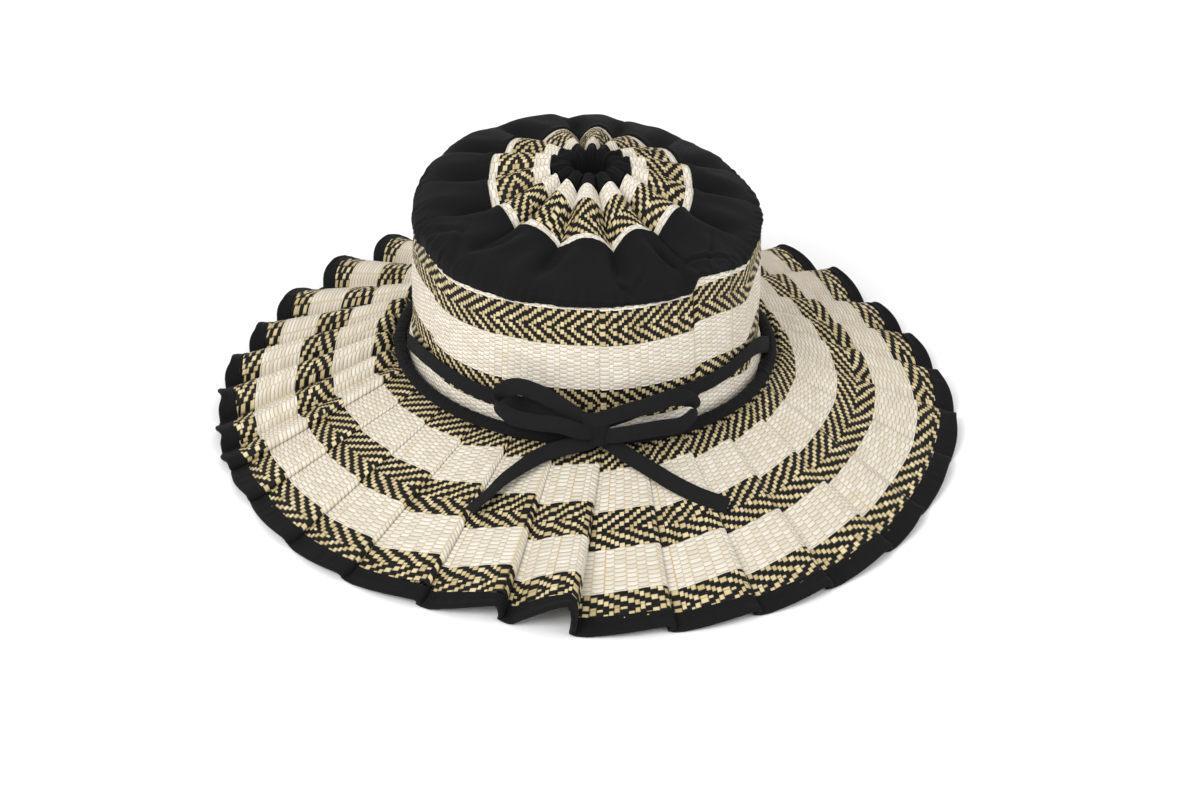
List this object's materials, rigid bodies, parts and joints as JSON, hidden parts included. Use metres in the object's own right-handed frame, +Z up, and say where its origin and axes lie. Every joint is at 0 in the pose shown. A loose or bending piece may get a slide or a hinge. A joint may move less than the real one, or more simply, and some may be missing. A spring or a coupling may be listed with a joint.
{
  "type": "folding straw sun hat",
  "caption": "Folding straw sun hat in cream and black: wide pleated brim with a bound hem, woven crown, gathered cotton top with a pleated rosette, cotton tie and bow.",
  "frame": {"origin": "centre of the hat's footprint, on the surface that it rests on", "axes": "+Z up, the front of the hat with its bow faces -Y, +X to the right seen from the front"},
  "size_m": [0.4056, 0.414, 0.1489],
  "materials": {
    "straw": "matt woven paper straw",
    "black_cotton": "fine cotton with a soft sheen"
  },
  "bodies": {
    "root": {"brim": "straw", "crown_band": "straw", "rosette": "straw", "brim_hem": "black_cotton", "collar": "black_cotton", "crown_yoke": "black_cotton", "rosette_centre": "black_cotton", "tie_left": "black_cotton", "tie_right": "black_cotton", "bow_knot": "black_cotton", "bow_loop_left": "black_cotton", "bow_loop_right": "black_cotton", "tail_left": "black_cotton", "tail_right": "black_cotton"}
  },
  "joints": []
}
